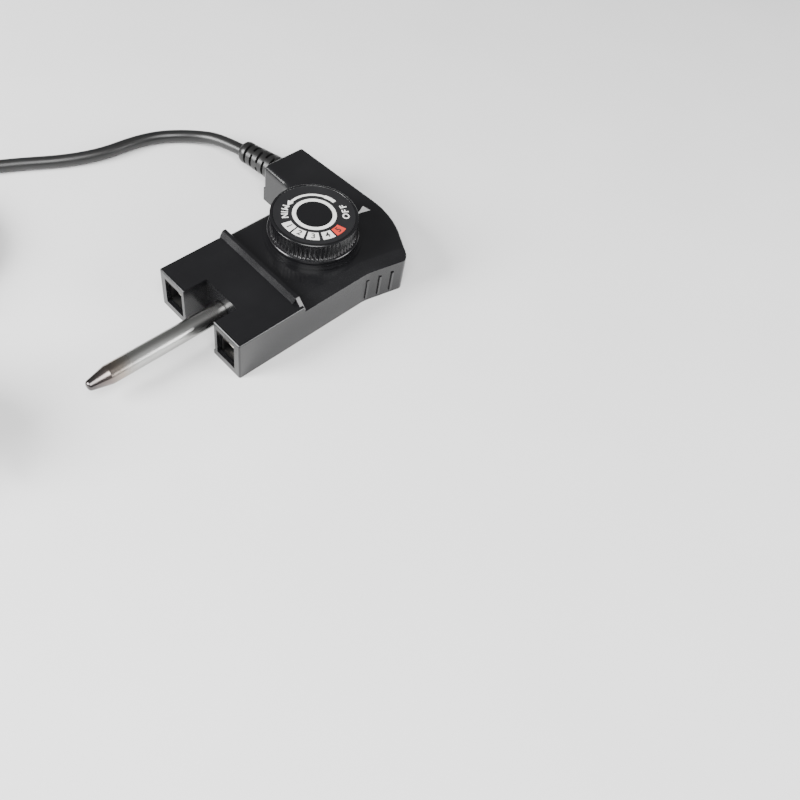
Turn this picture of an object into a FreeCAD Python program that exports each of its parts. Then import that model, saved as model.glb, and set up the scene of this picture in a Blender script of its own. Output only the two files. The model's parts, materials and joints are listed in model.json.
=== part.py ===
"""Plug-in heat control for an electric griddle, built as a parametric document.

The origin is where the dial's axis meets the flat underside. +X runs along the
probe towards its tip, +Z is up, and the mains cord leaves the arm towards -Y.
"""
import FreeCAD
import Part
import Sketcher
import math
import os

Vec = FreeCAD.Vector
doc = FreeCAD.newDocument("heat_control")
sizes = doc.addObject("Spreadsheet::Sheet", "sizes")

# Driving sizes in millimetres and degrees, from the outside of the housing inwards.
SIZES = {
    # housing plan, measured from the dial's axis
    "body_width": 56.0,
    "body_height": 22.0,
    "parting_height": 8.0,
    "prong_front": 68.0,
    "notch_width": 21.4,
    "notch_depth": 12.4,
    "sweep_reach": 41.0,
    "sweep_side": 12.0,
    "sweep_radius": 42.0,
    "grip_reach": 27.3,
    "grip_spread": 4.8,
    "flare_start": 6.5,
    "flare_radius": 25.0,
    "grip_radius": 3.0,
    "arm_reach": 50.8,
    "arm_rear": 36.4,
    "arm_front": 12.0,
    "elbow_radius": 12.0,
    # housing walls and edges
    "wall": 2.2,
    "notch_wall": 1.6,
    "top_round": 1.5,
    "arm_round": 3.2,
    "prong_round": 0.8,
    "chamfer_across": 5.5,
    "chamfer_down": 3.0,
    "lip_step": 0.8,
    "lip_height": 2.6,
    # finger rib across the top
    "rib_place": 32.0,
    "rib_width": 3.6,
    "rib_rise": 2.9,
    "rib_slope": 1.6,
    "rib_end_gap": 4.6,
    # grip ribs on the side
    "grip_rib_pitch": 6.6,
    "grip_rib_width": 1.4,
    "grip_rib_rise": 0.5,
    "grip_rib_low": 2.0,
    "grip_rib_high": 14.0,
    # seat of the dial
    "seat_radius": 23.0,
    "seat_step_radius": 21.9,
    "seat_step_height": 1.2,
    # sockets in the two prongs
    "socket_width": 12.0,
    "socket_height": 15.0,
    "socket_floor": 3.5,
    "socket_outer_wall": 3.6,
    "block_depth": 21.0,
    "block_gap": 0.3,
    "block_skin": 0.9,
    "contact_width": 9.0,
    "contact_depth": 15.0,
    "contact_sheet": 0.6,
    "contact_gap": 4.8,
    "contact_mouth": 9.0,
    # probe
    "probe_offset": 3.7,
    "probe_height": 11.4,
    "probe_radius": 4.35,
    "probe_wall": 0.8,
    "probe_step": 0.2,
    "probe_tip": 123.8,
    "tip_length": 10.0,
    "tip_radius": 2.1,
    "probe_root": 42.0,
    "rod_radius": 1.5,
    "collar_radius": 6.8,
    "collar_length": 3.0,
    # dial
    "dial_radius": 20.4,
    "dial_top": 35.2,
    "dial_gap": 0.35,
    "skirt_radius": 21.4,
    "skirt_height": 1.4,
    "dial_round": 1.0,
    "dial_wall": 1.8,
    "face_radius": 18.9,
    "face_thick": 0.7,
    "cap_radius": 8.0,
    "cap_thick": 1.1,
    "hub_radius": 4.0,
    "hub_gap": 0.25,
    "clip_radius": 6.2,
    "clip_thick": 0.6,
    # adjusting screw and its bush
    "screw_radius": 2.5,
    "screw_gap": 0.05,
    "screw_tip_radius": 1.4,
    "screw_flat": 0.7,
    "bush_radius": 4.2,
    "bush_height": 4.4,
    # thermostat frame and switch stack
    "frame_sheet": 1.2,
    "frame_width": 15.0,
    "frame_rear": 10.0,
    "frame_lift": 0.8,
    "bridge_height": 15.6,
    "stack_place": 22.0,
    "stack_size": 8.0,
    "stack_foot": 2.6,
    "blade_thick": 0.4,
    "blade_width": 7.0,
    "blade_space": 2.6,
    "point_radius": 1.5,
    "point_gap": 0.5,
    # cord, its sleeve and its clamp
    "cord_radius": 3.15,
    "sleeve_root_radius": 6.8,
    "sleeve_end_radius": 5.5,
    "sleeve_neck_radius": 5.4,
    "sleeve_length": 26.8,
    "sleeve_flange": 1.6,
    "sleeve_swing": 7.7,
    "sleeve_droop": 4.3,
    "sleeve_height": 11.0,
    "tail_inside": 17.0,
    "clamp_width": 5.0,
    "clamp_height": 3.0,
    "clamp_span": 16.0,
    "wire_radius": 0.9,
    # screws
    "screw_shank": 1.45,
    "screw_head": 2.7,
    "screw_head_height": 2.0,
    "post_radius": 3.2,
    # coil and plug
    "coil_x": 150.0,
    "coil_y": -118.0,
    "coil_radius": 34.65,
    "coil_wide": 19.0,
    "coil_high": 12.7,
    "tie_width": 6.0,
    "tie_sheet": 1.0,
    "tie_ease": 0.25,
    "plug_x": 190.0,
    "plug_root": -48.0,
    "plug_radius": 18.8,
    "plug_length": 36.0,
    "plug_neck_radius": 9.0,
    "plug_sleeve_length": 18.0,
    "pin_radius": 2.4,
    "pin_length": 19.0,
    "pin_spacing": 19.0,
}
for row, (word, number) in enumerate(SIZES.items(), start=1):
    sizes.set(f"A{row}", word)
    sizes.set(f"B{row}", str(number))
    sizes.setAlias(f"B{row}", word)
doc.recompute()


def term(words):
    """Turn a formula of size names into a sheet expression, and bare numbers into text."""
    if isinstance(words, (int, float)):
        return repr(float(words))
    out = []
    for piece in words.replace("(", " ( ").replace(")", " ) ").split():
        out.append("sizes." + piece if piece in SIZES else piece)
    return " ".join(out)


def value(words):
    """The number that a formula of size names stands for."""
    number = sizes.evalExpression(term(words))
    return float(getattr(number, "Value", number))


def bind(item, **formulas):
    """Bind plain properties of an object to formulas of size names."""
    for prop, words in formulas.items():
        item.setExpression(prop.replace("__", "."), term(words))
    return item


def place(item, x=0, y=0, z=0):
    """Bind an object's position."""
    for axis, words in (("x", x), ("y", y), ("z", z)):
        item.setExpression(f"Placement.Base.{axis}", term(words))
    return item


def box(name, x, y, z):
    """A box between two formulas on each axis."""
    item = doc.addObject("Part::Box", name)
    bind(item, Length=f"({x[1]}) - ({x[0]})", Width=f"({y[1]}) - ({y[0]})", Height=f"({z[1]}) - ({z[0]})")
    return place(item, x[0], y[0], z[0])


def rod(name, radius, length, x=0, y=0, z=0, along="z"):
    """A round bar that starts at a point and runs along one axis."""
    item = doc.addObject("Part::Cylinder", name)
    bind(item, Radius=radius, Height=length)
    turns = {"z": (Vec(0, 0, 1), 0), "x": (Vec(0, 1, 0), 90), "y": (Vec(1, 0, 0), -90)}
    axis, angle = turns[along]
    item.Placement = FreeCAD.Placement(Vec(), FreeCAD.Rotation(axis, angle))
    return place(item, x, y, z)


def fuse(name, *items):
    joined = doc.addObject("Part::MultiFuse", name)
    joined.Shapes = list(items)
    joined.Refine = True
    return joined


def cut(name, base, *tools):
    tool = tools[0] if len(tools) == 1 else fuse(name + "_tools", *tools)
    result = doc.addObject("Part::Cut", name)
    result.Base = base
    result.Tool = tool
    return result


def group(name, *items):
    """Like fasteners, kept as separate solids in one node."""
    bunch = doc.addObject("Part::Compound", name)
    bunch.Links = list(items)
    return bunch


def origin_plane(body, role):
    return next(item for item in body.Origin.OriginFeatures if item.Role == role)


def closed_sketch(body, name, role, corners, offset=0):
    """A closed outline of straight edges whose corners are all bound to formulas."""
    sketch = body.newObject("Sketcher::SketchObject", name)
    sketch.AttachmentSupport = [(origin_plane(body, role), "")]
    sketch.MapMode = "FlatFace"
    sketch.setExpression("AttachmentOffset.Base.z", term(offset))
    points = [Vec(value(across), value(up), 0) for across, up in corners]
    count = len(points)
    for i in range(count):
        sketch.addGeometry(Part.LineSegment(points[i], points[(i + 1) % count]), False)
    for i in range(count):
        sketch.addConstraint(Sketcher.Constraint("Coincident", i, 2, (i + 1) % count, 1))
    for i, corner in enumerate(corners):
        for kind, letter, at in (("DistanceX", "x", 0), ("DistanceY", "y", 1)):
            number = (points[i].x, points[i].y)[at]
            index = sketch.addConstraint(Sketcher.Constraint(kind, -1, 1, i, 1, number))
            sketch.renameConstraint(index, f"{letter}{i}")
            sketch.setExpression(f"Constraints.{letter}{i}", term(corner[at]))
    return sketch


def prism(name, corners, low, high):
    """A body padded upwards from a closed plan."""
    body = doc.addObject("PartDesign::Body", name)
    plan = closed_sketch(body, name + "_plan", "XY_Plane", corners, low)
    pad = body.newObject("PartDesign::Pad", name + "_pad")
    pad.Profile = plan
    bind(pad, Length=f"({high}) - ({low})")
    doc.recompute()
    return body, pad


def turned(name, corners):
    """A body turned about its own Z axis from a half section of (radius, height) corners."""
    body = doc.addObject("PartDesign::Body", name)
    section = closed_sketch(body, name + "_section", "XZ_Plane", corners)
    turn = body.newObject("PartDesign::Revolution", name + "_turn")
    turn.Profile = section
    turn.ReferenceAxis = (section, ["V_Axis"])
    turn.Angle = 360
    doc.recompute()
    return body


def stand_edges(shape, x, y):
    """Names of the upright edges over one corner of the plan."""
    at = Vec(value(x), value(y), 0)
    names = []
    for number, edge in enumerate(shape.Edges, start=1):
        flat = [Vec(v.X, v.Y, 0) for v in edge.Vertexes]
        if len(flat) == 2 and all((p - at).Length < 0.05 for p in flat):
            names.append(f"Edge{number}")
    return names


def level_edges(shape, height, test):
    """Names of the edges that lie at one height and whose middle passes a test."""
    names = []
    for number, edge in enumerate(shape.Edges, start=1):
        level = all(abs(v.Z - height) < 1e-4 for v in edge.Vertexes)
        if level and abs(edge.CenterOfMass.z - height) < 1e-4 and test(edge.CenterOfMass):
            names.append(f"Edge{number}")
    return names


def rounded(body, base, names, radius, label):
    """Round the named edges of a body's last feature."""
    feature = body.newObject("PartDesign::Fillet", label)
    feature.Base = (base, names)
    bind(feature, Radius=radius)
    doc.recompute()
    return feature


# Plan lines that several pieces share.
SIDE_RIGHT = "probe_offset + body_width / 2"
SIDE_LEFT = "probe_offset - body_width / 2"
NOTCH_RIGHT = "probe_offset + notch_width / 2"
NOTCH_LEFT = "probe_offset - notch_width / 2"
NOTCH_BACK = "prong_front - notch_depth"
GRIP_SIDE = "probe_offset + body_width / 2 + grip_spread"
ROOF = "body_height - wall"
SEAT_TOP = "body_height + 2 * seat_step_height"
DIAL_FOOT = "body_height + 2 * seat_step_height + dial_gap"


def rear_plan(inset, front):
    """Plan of the dial end and the arm, drawn in by an inset, from a front line backwards."""
    return [
        (front, f"{SIDE_RIGHT} - {inset}"),
        ("0 - flare_start", f"{SIDE_RIGHT} - {inset}"),
        (f"0 - grip_reach + {inset} * 0.3", f"{GRIP_SIDE} - {inset}"),
        (f"0 - sweep_reach + {inset}", "sweep_side"),
        (f"0 - arm_rear + {inset}", f"0 - arm_reach + {inset}"),
        (f"0 - arm_front - {inset}", f"0 - arm_reach + {inset}"),
        (f"0 - arm_front - {inset}", f"{SIDE_LEFT} + {inset}"),
        (front, f"{SIDE_LEFT} + {inset}"),
    ]


def front_plan(inset, notch_inset, rear):
    """Plan of the two prongs and the notch between them, drawn in by an inset."""
    front = f"prong_front - {inset}"
    return [
        (rear, f"{SIDE_LEFT} + {inset}"),
        (front, f"{SIDE_LEFT} + {inset}"),
        (front, f"{NOTCH_LEFT} - {notch_inset}"),
        (f"{NOTCH_BACK} - {notch_inset}", f"{NOTCH_LEFT} - {notch_inset}"),
        (f"{NOTCH_BACK} - {notch_inset}", f"{NOTCH_RIGHT} + {notch_inset}"),
        (front, f"{NOTCH_RIGHT} + {notch_inset}"),
        (front, f"{SIDE_RIGHT} - {inset}"),
        (rear, f"{SIDE_RIGHT} - {inset}"),
    ]


def rear_block(name, low, high, with_top):
    """The dial end and arm as one block, with its upright corners rounded."""
    body, last = prism(name, rear_plan("0", "rib_place"), low, high)
    uprights = (
        ("sweep", "0 - sweep_reach", "sweep_side", "sweep_radius"),
        ("elbow", "0 - arm_front", SIDE_LEFT, "elbow_radius"),
        ("flare", "0 - flare_start", SIDE_RIGHT, "flare_radius"),
        ("arm_corner", "0 - arm_rear", "0 - arm_reach", "top_round"),
    )
    for label, x, y, radius in uprights:
        names = stand_edges(last.Shape, x, y)
        last = rounded(body, last, names, radius, f"{name}_{label}")
    if with_top:
        top = value(high)
        side = value(SIDE_RIGHT) - value("chamfer_down") / 2
        grip = -value("grip_reach")
        names = level_edges(last.Shape, top, lambda c: c.y > side and c.x > grip)
        bevel = body.newObject("PartDesign::Chamfer", name + "_chamfer")
        bevel.Base = (last, names)
        bevel.ChamferType = "Two distances"
        bind(bevel, Size="chamfer_down", Size2="chamfer_across")
        doc.recompute()
        last = bevel
    names = stand_edges(last.Shape, "0 - grip_reach", GRIP_SIDE)
    last = rounded(body, last, names, "grip_radius", f"{name}_grip")
    if with_top:
        behind = value("rib_place") - 0.5
        bevel_side = value(SIDE_RIGHT) - value("chamfer_across") - 1
        inner_side = value(SIDE_LEFT) + value("arm_round") + 1
        arm_front = -value("arm_front") - 0.5
        wide = level_edges(last.Shape, top, lambda c: arm_front < c.x < behind and c.y < inner_side)
        last = rounded(body, last, wide, "arm_round", f"{name}_arm")
        free = level_edges(last.Shape, top, lambda c: c.x < behind and (c.y < bevel_side or c.x < grip))
        free = [e for e in free if last.Shape.getElement(e).CenterOfMass.x < arm_front or
                last.Shape.getElement(e).CenterOfMass.y > inner_side]
        last = rounded(body, last, free, "top_round", f"{name}_top")
    return body


def front_block(name, low, high, with_top):
    """The two prongs as one block that meets the dial end under the rib."""
    body, last = prism(name, front_plan("0", "0", "rib_place"), low, high)
    for label, y in (("left", SIDE_LEFT), ("right", SIDE_RIGHT)):
        names = stand_edges(last.Shape, "prong_front", y)
        last = rounded(body, last, names, "prong_round", f"{name}_{label}")
    if with_top:
        top = value(high)
        reach = value("body_width") / 2 - 1
        centre = value("probe_offset")
        names = level_edges(last.Shape, top, lambda c: abs(c.y - centre) > reach)
        last = rounded(body, last, names, "prong_round", f"{name}_sides")
    return body


# ---------------------------------------------------------------- housing
# Two moulded half shells meet on a level parting line and are screwed together from below.

cavity_top = prism("cavity_rear_top", rear_plan("wall", "rib_place + 1"), "parting_height - 1", ROOF)[0]
cavity_front = prism(
    "cavity_front_top", front_plan("wall", "notch_wall", "rib_place"), "parting_height - 1", ROOF
)[0]

# The rib is a low ramp that stops the fingers sliding towards the hot probe.
rib = doc.addObject("PartDesign::Body", "rib")
rib_section = closed_sketch(
    rib,
    "rib_section",
    "XZ_Plane",
    [
        ("rib_place - 0.5", "body_height - 1"),
        ("rib_place - 0.5 + rib_width", "body_height - 1"),
        ("rib_place - 0.5 + rib_width", "body_height + 0.3"),
        ("rib_place + rib_width - 0.5 - rib_slope", "body_height + rib_rise"),
        ("rib_place - 0.2", "body_height + rib_rise"),
        ("rib_place - 0.5", "body_height + rib_rise - 0.4"),
    ],
    f"0 - ({SIDE_RIGHT} - rib_end_gap)",
)
rib_pad = rib.newObject("PartDesign::Pad", "rib_pad")
rib_pad.Profile = rib_section
bind(rib_pad, Length="body_width - rib_end_gap")
doc.recompute()

# Down the side the rib slopes over the chamfer to the wall.
rib_end = doc.addObject("PartDesign::Body", "rib_end")
rib_end_section = closed_sketch(
    rib_end,
    "rib_end_section",
    "YZ_Plane",
    [
        (f"{SIDE_RIGHT} - chamfer_across - 2", "body_height - chamfer_down - 0.5"),
        (SIDE_RIGHT, "body_height - chamfer_down - 0.5"),
        (SIDE_RIGHT, "body_height - rib_rise / 2"),
        (f"{SIDE_RIGHT} - rib_end_gap", "body_height + rib_rise"),
        (f"{SIDE_RIGHT} - chamfer_across - 2", "body_height + rib_rise"),
    ],
    "rib_place - 0.5",
)
rib_end_pad = rib_end.newObject("PartDesign::Pad", "rib_end_pad")
rib_end_pad.Profile = rib_end_section
bind(rib_end_pad, Length="rib_width - rib_slope")
doc.recompute()

SCREWS = [
    ("rib_place - 4", f"{SIDE_LEFT} + wall + post_radius - 0.2"),
    ("rib_place - 4", f"{SIDE_RIGHT} - wall - post_radius + 0.2"),
    ("0 - sweep_reach + wall + post_radius + 4", "sweep_side + 2"),
    ("0 - arm_rear + wall + post_radius - 0.6", f"{SIDE_LEFT} + 4"),
]
posts = [
    rod(f"post_{i}", "post_radius", f"{ROOF} + 0.2 - parting_height", x, y, "parting_height")
    for i, (x, y) in enumerate(SCREWS)
]
pilots = [
    rod(f"pilot_{i}", "screw_shank - 0.3", "parting_height", x, y, "parting_height - 1")
    for i, (x, y) in enumerate(SCREWS)
]
seat = rod("seat", "seat_radius", "seat_step_height + 1", 0, 0, "body_height - 1")
seat_step = rod("seat_step", "seat_step_radius", "2 * seat_step_height + 1", 0, 0, "body_height - 1")
hub_hole = rod("hub_hole", "hub_radius + hub_gap", "body_height", 0, 0, "body_height / 2")

SOCKETS = {
    "left": (f"{SIDE_LEFT} + socket_outer_wall", f"{SIDE_LEFT} + socket_outer_wall + socket_width"),
    "right": (f"{SIDE_RIGHT} - socket_outer_wall - socket_width", f"{SIDE_RIGHT} - socket_outer_wall"),
}
SOCKET_TOP = "socket_floor + socket_height"


def socket_mouth(half, side):
    """The rectangular way into one prong, cut through its front wall."""
    return box(
        f"mouth_{side}_{half}",
        ("prong_front - wall - 1", "prong_front + 1"),
        SOCKETS[side],
        ("socket_floor", SOCKET_TOP),
    )


ARM_MIDDLE = "0 - (arm_rear + arm_front) / 2"


def sleeve_hole(half):
    """The round way out for the sleeve through the arm's end wall."""
    return rod(
        f"sleeve_hole_{half}", "sleeve_neck_radius + 0.1", "3 * wall", ARM_MIDDLE, "0 - arm_reach - wall",
        "sleeve_height", "y",
    )




def grip_ribs(half, low, high):
    """Three upright ribs on the flared side, where a thumb pulls the control off."""
    slope = "(grip_spread / (grip_reach - flare_start))"
    ribs = []
    for i in range(3):
        x = f"(0 - flare_start - 0.5 - {i} * grip_rib_pitch)"
        side_line = f"({SIDE_RIGHT} - ({x} + flare_start) * {slope})"
        ribs.append(
            box(
                f"grip_rib_{half}_{i}",
                (f"{x} - grip_rib_width / 2", f"{x} + grip_rib_width / 2"),
                (f"{side_line} - wall / 2", f"{side_line} + grip_rib_rise"),
                (low, high),
            )
        )
    return ribs


upper_block = fuse(
    "upper_block",
    rear_block("upper_rear", "parting_height", "body_height", True),
    front_block("upper_front", "parting_height", "body_height", True),
    rib,
    rib_end,
    seat,
    seat_step,
    *grip_ribs("top", "parting_height", "grip_rib_high"),
)
upper_skin = cut("upper_skin", upper_block, cavity_top, cavity_front)
probe_hole_top = rod(
    "probe_hole_top", "probe_radius + 0.3", "wall + 2", f"{NOTCH_BACK} - wall - 1", "probe_offset",
    "probe_height", "x",
)
upper_shell = cut(
    "upper_shell",
    fuse("upper_with_posts", upper_skin, *posts),
    *pilots,
    hub_hole,
    probe_hole_top,
    sleeve_hole("top"),
    *(socket_mouth("top", side) for side in SOCKETS),
)

lower_cavity = prism("cavity_rear_low", rear_plan("wall", "rib_place + 1"), "wall", "parting_height + 1")[0]
lower_cavity_front = prism(
    "cavity_front_low", front_plan("wall", "notch_wall", "rib_place"), "wall", "parting_height + 1"
)[0]
lip = box(
    "notch_lip",
    (f"{NOTCH_BACK} - notch_wall", "prong_front"),
    (f"{NOTCH_RIGHT} - lip_step", f"{NOTCH_RIGHT} + notch_wall"),
    ("0", "lip_height"),
)
sockets_low = [
    rod(f"shank_hole_{i}", "screw_shank + 0.15", "parting_height + 2", x, y, "0 - 1")
    for i, (x, y) in enumerate(SCREWS)
]
head_holes = [
    rod(f"head_hole_{i}", "screw_head + 0.3", "screw_head_height + 1.5", x, y, "0 - 1")
    for i, (x, y) in enumerate(SCREWS)
]
low_posts = [
    rod(f"low_post_{i}", "post_radius + 0.6", "parting_height - 1", x, y, "1")
    for i, (x, y) in enumerate(SCREWS)
]
CLAMP_PLACE = "0 - arm_reach + 10.8"
CLAMP_SCREWS = [f"{ARM_MIDDLE} - 6.2", f"{ARM_MIDDLE} + 6.2"]
CORD_TOP = "sleeve_height + cord_radius + 0.1"
clamp_posts = [
    rod(f"clamp_post_{i}", "2.6", f"{CORD_TOP} - 1", x, CLAMP_PLACE, "1") for i, x in enumerate(CLAMP_SCREWS)
]
clamp_pilots = [
    rod(f"clamp_pilot_{i}", "1.2", "10", x, CLAMP_PLACE, f"{CORD_TOP} - 8") for i, x in enumerate(CLAMP_SCREWS)
]
saddle = box(
    "cord_saddle",
    (f"{ARM_MIDDLE} - 4", f"{ARM_MIDDLE} + 4"),
    (f"{CLAMP_PLACE} - clamp_width / 2", f"{CLAMP_PLACE} + clamp_width / 2"),
    ("1", "sleeve_height - cord_radius - 0.1"),
)
FRAME_SCREWS = [("36", "probe_offset + 5"), ("0 - 5", "probe_offset + 5")]
frame_pilots = [
    rod(f"frame_pilot_{i}", "1.15", "wall", x, y, "0.7") for i, (x, y) in enumerate(FRAME_SCREWS)
]
lower_block = fuse(
    "lower_block",
    rear_block("lower_rear", "0", "parting_height", False),
    front_block("lower_front", "0", "parting_height", False),
    lip,
    *grip_ribs("low", "grip_rib_low", "parting_height"),
)
lower_skin = cut("lower_skin", lower_block, lower_cavity, lower_cavity_front)
probe_hole_low = rod(
    "probe_hole_low", "probe_radius + 0.3", "wall + 2", f"{NOTCH_BACK} - wall - 1", "probe_offset",
    "probe_height", "x",
)
lower_shell = cut(
    "lower_shell",
    fuse("lower_with_posts", lower_skin, *low_posts, *clamp_posts, saddle),
    *clamp_pilots,
    *frame_pilots,
    *sockets_low,
    *head_holes,
    probe_hole_low,
    sleeve_hole("low"),
    *(socket_mouth("low", side) for side in SOCKETS),
)


def cover_screw(name, x, y, low, length):
    """A pan-head screw that stands point up from its head."""
    head = rod(name + "_head", "screw_head", "screw_head_height", x, y, low)
    shank = rod(name + "_shank", "screw_shank - 0.35", length, x, y, low)
    slot = box(name + "_slot", (f"{x} - 0.35", f"{x} + 0.35"), (f"{y} - 2", f"{y} + 2"), (f"{low} - 1", f"{low} + 0.8"))
    return cut(name, fuse(name + "_blank", head, shank), slot)


cover_screws = group(
    "cover_screws",
    *(
        cover_screw(f"cover_screw_{i}", x, y, "0.5", "parting_height + 5.4")
        for i, (x, y) in enumerate(SCREWS)
    ),
)

# ---------------------------------------------------------------- sockets
# Each prong holds a moulded block with a folded spring contact that grips one heater pin.

CONTACT_TAIL = "probe_root"
BLOCK_SIDES = {
    "left": (f"{SIDE_LEFT} + wall + block_gap", f"{NOTCH_LEFT} - notch_wall - block_gap"),
    "right": (f"{NOTCH_RIGHT} + notch_wall + block_gap", f"{SIDE_RIGHT} - wall - block_gap"),
}
socket_blocks = []
contacts = []
for side, (low_y, high_y) in SOCKETS.items():
    middle = f"(({low_y} + {high_y}) / 2)"
    block_sides = BLOCK_SIDES[side]
    outer = box(
        f"block_{side}",
        ("prong_front - wall - block_gap - block_depth", "prong_front - wall - block_gap"),
        block_sides,
        ("wall + block_gap", f"{SOCKET_TOP} + 0.7"),
    )
    bore = box(
        f"block_bore_{side}",
        ("prong_front - wall - block_gap - block_depth + 3", "prong_front"),
        (f"{block_sides[0]} + block_skin", f"{block_sides[1]} - block_skin"),
        ("socket_floor + 0.3", f"{SOCKET_TOP} - 0.6"),
    )
    tail_slot = box(
        f"block_slot_{side}",
        ("prong_front - wall - block_gap - block_depth - 1", "prong_front - block_depth + 2"),
        (f"{middle} - contact_width / 2 - 0.2", f"{middle} + contact_width / 2 + 0.2"),
        ("probe_height - 0.5", "probe_height + contact_sheet + 0.2"),
    )
    socket_blocks.append(cut(f"socket_block_{side}", outer, bore, tail_slot))

    back = "prong_front - wall - block_gap - block_depth + 3.4"

    def leaf(side_sign):
        """Outline of one spring leaf, from the folded back to the flared mouth and back again."""
        waist = f"{back} + contact_depth - 4"
        mouth = f"{back} + contact_depth"
        inner = (
            (f"{back} + contact_sheet", "contact_gap / 2 + 1.2"),
            (waist, "contact_gap / 2"),
            (mouth, "contact_mouth / 2"),
        )
        outer_face = (
            (f"{mouth} - 0.3", "contact_mouth / 2 + contact_sheet"),
            (waist, "contact_gap / 2 + contact_sheet"),
            (back, "contact_gap / 2 + 1.2 + contact_sheet"),
        )
        return [(x, f"probe_height {side_sign} ({z})") for x, z in inner + outer_face]

    spring = doc.addObject("PartDesign::Body", f"spring_{side}")
    section = closed_sketch(
        spring,
        f"spring_{side}_section",
        "XZ_Plane",
        leaf("+") + leaf("-")[::-1],
        f"0 - ({middle} + contact_width / 2)",
    )
    pad = spring.newObject("PartDesign::Pad", f"spring_{side}_pad")
    pad.Profile = section
    bind(pad, Length="contact_width")
    doc.recompute()
    tail = box(
        f"contact_tail_{side}",
        (CONTACT_TAIL, f"{back} + contact_sheet / 2"),
        (f"{middle} - 3", f"{middle} + 3"),
        ("probe_height", "probe_height + contact_sheet"),
    )
    contacts.append(fuse(f"contact_{side}", spring, tail))

# ---------------------------------------------------------------- probe
# A bright steel tube, closed at a coned tip, holds a low-expansion rod. As the tube warms and
# grows, the rod draws back and lets the moving blade of the switch part from the fixed one.

PROBE_STEP_PLACE = f"{NOTCH_BACK} + 0.5 - probe_root"
probe_tube = turned(
    "probe_tube",
    [
        ("0", "probe_tip - probe_root - tip_length - 2"),
        ("probe_radius - probe_wall", "probe_tip - probe_root - tip_length - 2"),
        ("probe_radius - probe_wall", "0"),
        ("probe_radius - probe_step", "0"),
        ("probe_radius - probe_step", PROBE_STEP_PLACE),
        ("probe_radius", PROBE_STEP_PLACE),
        ("probe_radius", "probe_tip - probe_root - tip_length"),
        ("tip_radius", "probe_tip - probe_root"),
        ("0", "probe_tip - probe_root"),
    ],
)
tip_height = value("probe_tip - probe_root")
rounded(
    probe_tube,
    probe_tube.Tip,
    level_edges(probe_tube.Tip.Shape, tip_height, lambda c: True),
    "tip_radius * 0.8",
    "probe_tip_round",
)


def lay_on_probe(item, start):
    """Lay a piece made along Z on the probe's axis, from one place along X."""
    item.Placement = FreeCAD.Placement(Vec(), FreeCAD.Rotation(Vec(0, 1, 0), 90))
    return place(item, start, "probe_offset", "probe_height")


lay_on_probe(probe_tube, "probe_root")
ROD_BACK = "probe_root - 4"
probe_rod = rod(
    "probe_rod", "rod_radius", f"probe_tip - tip_length - 2.1 - ({ROD_BACK})", ROD_BACK, "probe_offset",
    "probe_height", "x",
)
FRAME_FRONT = "probe_root + 2"
probe_collar = cut(
    "probe_collar",
    rod("collar_ring", "collar_radius", "collar_length", f"{FRAME_FRONT} + frame_sheet", "probe_offset",
        "probe_height", "x"),
    rod("collar_bore", "probe_radius - probe_step", "collar_length + 2", f"{FRAME_FRONT}", "probe_offset",
        "probe_height", "x"),
)

# ---------------------------------------------------------------- thermostat
# A folded steel frame carries the probe at its front plate and the dial's bush in its bridge.

FRAME_LOW = "(wall + frame_lift)"
FRAME_SIDES = ("probe_offset - frame_width / 2", "probe_offset + frame_width / 2")
BRIDGE_SIDES = ("0 - frame_width / 2 + 1.5", "frame_width / 2 - 1.5")
STACK_MIDDLE = "probe_offset / 2"
frame_plates = fuse(
    "frame_plates",
    box("frame_base", ("0 - frame_rear", f"{FRAME_FRONT} + frame_sheet"), FRAME_SIDES,
        (FRAME_LOW, f"{FRAME_LOW} + frame_sheet")),
    box("frame_front", (FRAME_FRONT, f"{FRAME_FRONT} + frame_sheet"), FRAME_SIDES,
        (FRAME_LOW, "probe_height + collar_radius")),
    box("frame_back", ("0 - frame_rear", "0 - frame_rear + frame_sheet"),
        ("probe_offset - frame_width / 2", "frame_width / 2 - 1.5"),
        (FRAME_LOW, "bridge_height + frame_sheet")),
    box("frame_bridge", ("0 - frame_rear", "frame_rear"), BRIDGE_SIDES,
        ("bridge_height", "bridge_height + frame_sheet")),
)
thermostat_frame = cut(
    "thermostat_frame",
    frame_plates,
    rod("frame_probe_hole", "probe_radius - probe_step", "frame_sheet + 2", f"{FRAME_FRONT} - 1", "probe_offset",
        "probe_height", "x"),
    rod("frame_bush_hole", "bush_radius", "frame_sheet + 2", 0, 0, "bridge_height - 1"),
    rod("frame_rivet_hole", "1.2", "frame_sheet + 2", "stack_place", STACK_MIDDLE, f"{FRAME_LOW} - 1"),
    *(
        rod(f"frame_screw_hole_{i}", "1.3", "frame_sheet + 2", x, y, f"{FRAME_LOW} - 1")
        for i, (x, y) in enumerate(FRAME_SCREWS)
    ),
)
mica_sheet = cut(
    "mica_sheet",
    box("mica_blank", ("0 - frame_rear + 1", "probe_root"), ("probe_offset - 6.5", "probe_offset + 7"),
        ("wall + 0.02", f"{FRAME_LOW} - 0.02")),
    rod("mica_rivet_hole", "2.8", "4", "stack_place", STACK_MIDDLE, "1"),
    *(
        rod(f"mica_screw_hole_{i}", "1.3", "4", x, y, "1") for i, (x, y) in enumerate(FRAME_SCREWS)
    ),
)
frame_screws = group(
    "frame_screws",
    *(
        fuse(
            f"frame_screw_{i}",
            rod(f"frame_screw_shank_{i}", "1.1", "4", x, y, "1"),
            rod(f"frame_screw_head_{i}", "2", "1.3", x, y, f"{FRAME_LOW} + frame_sheet"),
        )
        for i, (x, y) in enumerate(FRAME_SCREWS)
    ),
)
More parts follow.
